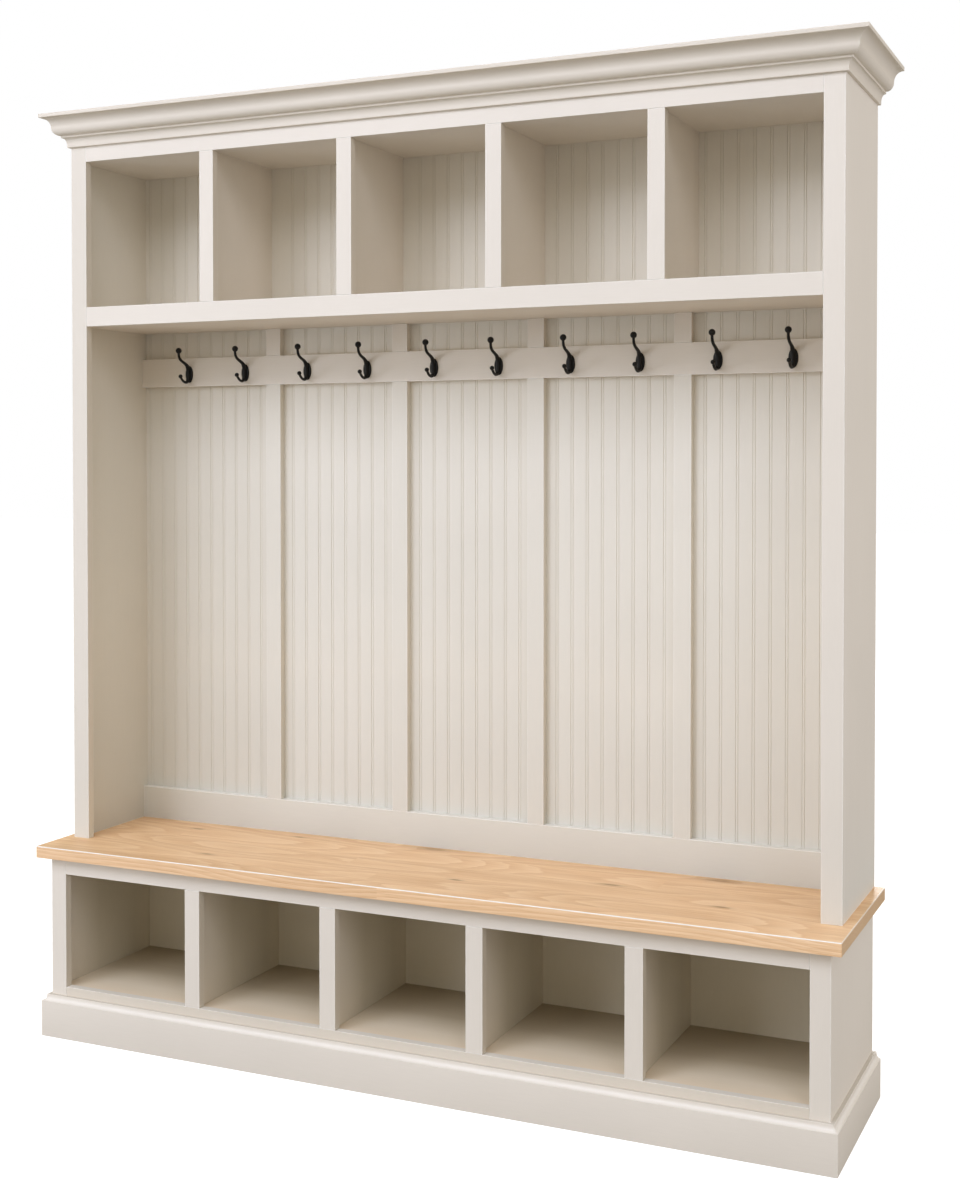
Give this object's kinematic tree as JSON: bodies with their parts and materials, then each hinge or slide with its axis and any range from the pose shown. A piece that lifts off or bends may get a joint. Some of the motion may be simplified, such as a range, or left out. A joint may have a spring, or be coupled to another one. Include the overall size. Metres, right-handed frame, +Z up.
{
  "type": "hall locker",
  "caption": "Open hall locker: painted base with shoe cubbies, oak bench, hutch with coat hooks on a grooved back, a row of cubbies and a crown moulding.",
  "frame": {"origin": "on the floor, under the middle of the overall footprint", "axes": "+X to the viewer's right, +Y towards the wall, +Z up"},
  "size_m": [2.012, 0.454, 2.244],
  "materials": {
    "painted_board": "satin warm off-white paint on fine board",
    "oak_bench": "clear matt lacquer on edge-glued oak staves",
    "raw_softwood": "unfinished planed softwood",
    "black_metal": "satin black powder coat",
    "zinc_screw": "zinc plated"
  },
  "bodies": {
    "root": {"base_left_side": "painted_board", "base_right_side": "painted_board", "base_floor": "painted_board", "base_sub_top": "painted_board", "base_back": "painted_board", "base_rear_rail": "raw_softwood", "floor_bearers": "raw_softwood", "base_left_stile": "painted_board", "base_right_stile": "painted_board", "base_top_rail": "painted_board", "base_bottom_rail": "painted_board", "plinth_front": "painted_board", "plinth_left": "painted_board", "plinth_right": "painted_board", "bench_top": "oak_bench", "bench_screws": "zinc_screw", "hutch_dowels": "raw_softwood", "hutch_left_side": "painted_board", "hutch_right_side": "painted_board", "hutch_left_stile": "painted_board", "hutch_right_stile": "painted_board", "hutch_top_rail": "painted_board", "mid_rail": "painted_board", "ceiling_panel": "painted_board", "mid_shelf": "painted_board", "cubby_back": "painted_board", "hanging_back": "painted_board", "hook_rail": "painted_board", "foot_rail": "painted_board", "upper_battens": "painted_board", "hook_cleat": "raw_softwood", "lower_cleat": "raw_softwood", "top_wall_rail": "raw_softwood", "crown_front": "painted_board", "crown_left": "painted_board", "crown_right": "painted_board", "coat_hooks": "black_metal", "hook_screws": "black_metal", "base_divider_1": "painted_board", "base_divider_2": "painted_board", "base_divider_3": "painted_board", "base_divider_4": "painted_board", "base_mullion_1": "painted_board", "base_mullion_2": "painted_board", "base_mullion_3": "painted_board", "base_mullion_4": "painted_board", "cubby_divider_1": "painted_board", "cubby_divider_2": "painted_board", "cubby_divider_3": "painted_board", "cubby_divider_4": "painted_board", "cubby_mullion_1": "painted_board", "cubby_mullion_2": "painted_board", "cubby_mullion_3": "painted_board", "cubby_mullion_4": "painted_board", "lower_batten_1": "painted_board", "lower_batten_2": "painted_board", "lower_batten_3": "painted_board", "lower_batten_4": "painted_board"}
  },
  "joints": []
}
